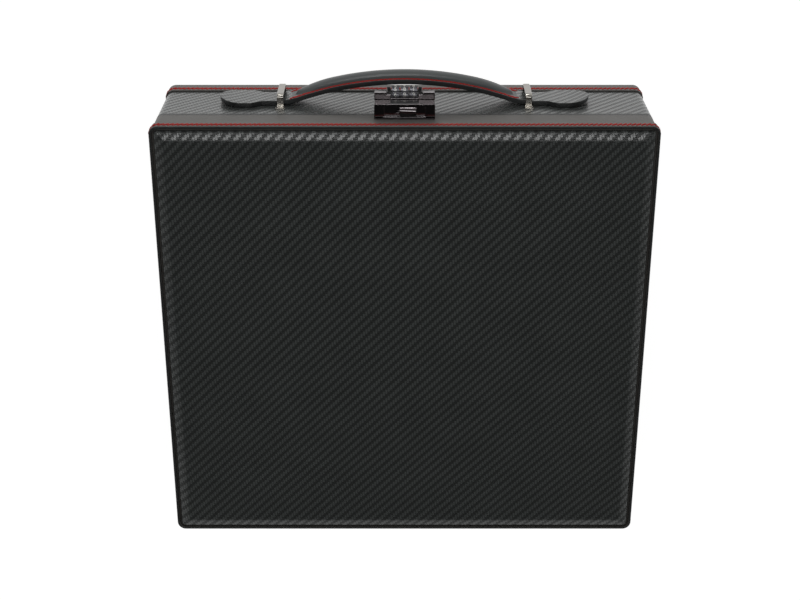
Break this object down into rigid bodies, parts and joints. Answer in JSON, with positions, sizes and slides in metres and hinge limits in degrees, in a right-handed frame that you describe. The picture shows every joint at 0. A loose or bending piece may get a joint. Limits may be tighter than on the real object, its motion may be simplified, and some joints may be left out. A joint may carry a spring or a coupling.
{
  "type": "watch box",
  "caption": "Briefcase-style watch box in twill-embossed leatherette with hinged lid, strap handle, combination lock and cushioned compartments.",
  "frame": {"origin": "centre of the back face, on which the case lies", "axes": "+Z out of the lid, -Y towards the wall with handle and lock, +Y towards the hinge, +X across"},
  "size_m": [0.34, 0.3386, 0.0975],
  "materials": {
    "twill_leatherette": "embossed twill",
    "edge_leather": "smooth grain",
    "suede_lining": "suede",
    "cushion_leather": "fine grain",
    "board": "raw fibreboard",
    "hinge_steel": "blackened",
    "loop_nickel": "polished",
    "fastener_steel": "plain",
    "gunmetal": "polished gunmetal",
    "wheel_gunmetal": "satin gunmetal"
  },
  "bodies": {
    "case_body": {"body_frame": "twill_leatherette", "back_panel": "twill_leatherette", "body_edge_band": "edge_leather", "body_lining": "suede_lining", "divider_row_1": "suede_lining", "divider_row_2": "suede_lining", "divider_row_3": "suede_lining", "divider_column_1": "suede_lining", "divider_column_2": "suede_lining", "divider_column_3": "suede_lining", "divider_column_4": "suede_lining", "divider_column_5": "suede_lining", "watch_cushion_01": "cushion_leather", "watch_cushion_02": "cushion_leather", "watch_cushion_03": "cushion_leather", "watch_cushion_04": "cushion_leather", "watch_cushion_05": "cushion_leather", "watch_cushion_06": "cushion_leather", "watch_cushion_07": "cushion_leather", "watch_cushion_08": "cushion_leather", "watch_cushion_09": "cushion_leather", "watch_cushion_10": "cushion_leather", "watch_cushion_11": "cushion_leather", "watch_cushion_12": "cushion_leather", "watch_cushion_13": "cushion_leather", "watch_cushion_14": "cushion_leather", "watch_cushion_15": "cushion_leather", "watch_cushion_16": "cushion_leather", "watch_cushion_17": "cushion_leather", "watch_cushion_18": "cushion_leather", "watch_cushion_19": "cushion_leather", "watch_cushion_20": "cushion_leather", "watch_cushion_21": "cushion_leather", "watch_cushion_22": "cushion_leather", "watch_cushion_23": "cushion_leather", "watch_cushion_24": "cushion_leather", "hinge_body_leaf": "hinge_steel", "hinge_pin": "hinge_steel", "hinge_body_screws": "hinge_steel", "handle_loop_left": "loop_nickel", "handle_loop_right": "loop_nickel", "loop_nuts": "fastener_steel", "lock_screws": "fastener_steel", "wheel_axle": "fastener_steel", "lock_case": "gunmetal"},
    "lid": {"lid_frame": "twill_leatherette", "lid_edge_band": "edge_leather", "lid_board": "board", "lid_panel": "twill_leatherette", "lid_lining": "suede_lining", "lid_pad": "suede_lining", "hinge_lid_leaf": "hinge_steel", "hinge_lid_screws": "hinge_steel", "latch_block": "gunmetal", "latch_screws": "fastener_steel"},
    "latch": {"latch_slider": "gunmetal"},
    "handle": {"handle_strap": "edge_leather"},
    "wheel_1": {"number_wheel_1": "wheel_gunmetal"},
    "wheel_2": {"number_wheel_2": "wheel_gunmetal"},
    "wheel_3": {"number_wheel_3": "wheel_gunmetal"}
  },
  "joints": [
    {"name": "lid_hinge", "type": "hinge", "parent": "case_body", "child": "lid", "pos_m": [0, 0.1563, 0.066], "axis": [-1, 0, 0], "range_deg": [0, 100]},
    {"name": "latch_slide", "type": "slide", "parent": "lid", "child": "latch", "axis": [1, 0, 0], "range_m": [0, 0.006]},
    {"name": "handle_lift", "type": "slide", "parent": "case_body", "child": "handle", "axis": [0, -1, 0], "range_m": [0, 0.0022]},
    {"name": "wheel_1_turn", "type": "hinge", "parent": "case_body", "child": "wheel_1", "pos_m": [0, -0.1665, 0.0516], "axis": [1, 0, 0], "continuous": true},
    {"name": "wheel_2_turn", "type": "hinge", "parent": "case_body", "child": "wheel_2", "pos_m": [0, -0.1665, 0.0516], "axis": [1, 0, 0], "continuous": true},
    {"name": "wheel_3_turn", "type": "hinge", "parent": "case_body", "child": "wheel_3", "pos_m": [0, -0.1665, 0.0516], "axis": [1, 0, 0], "continuous": true}
  ]
}
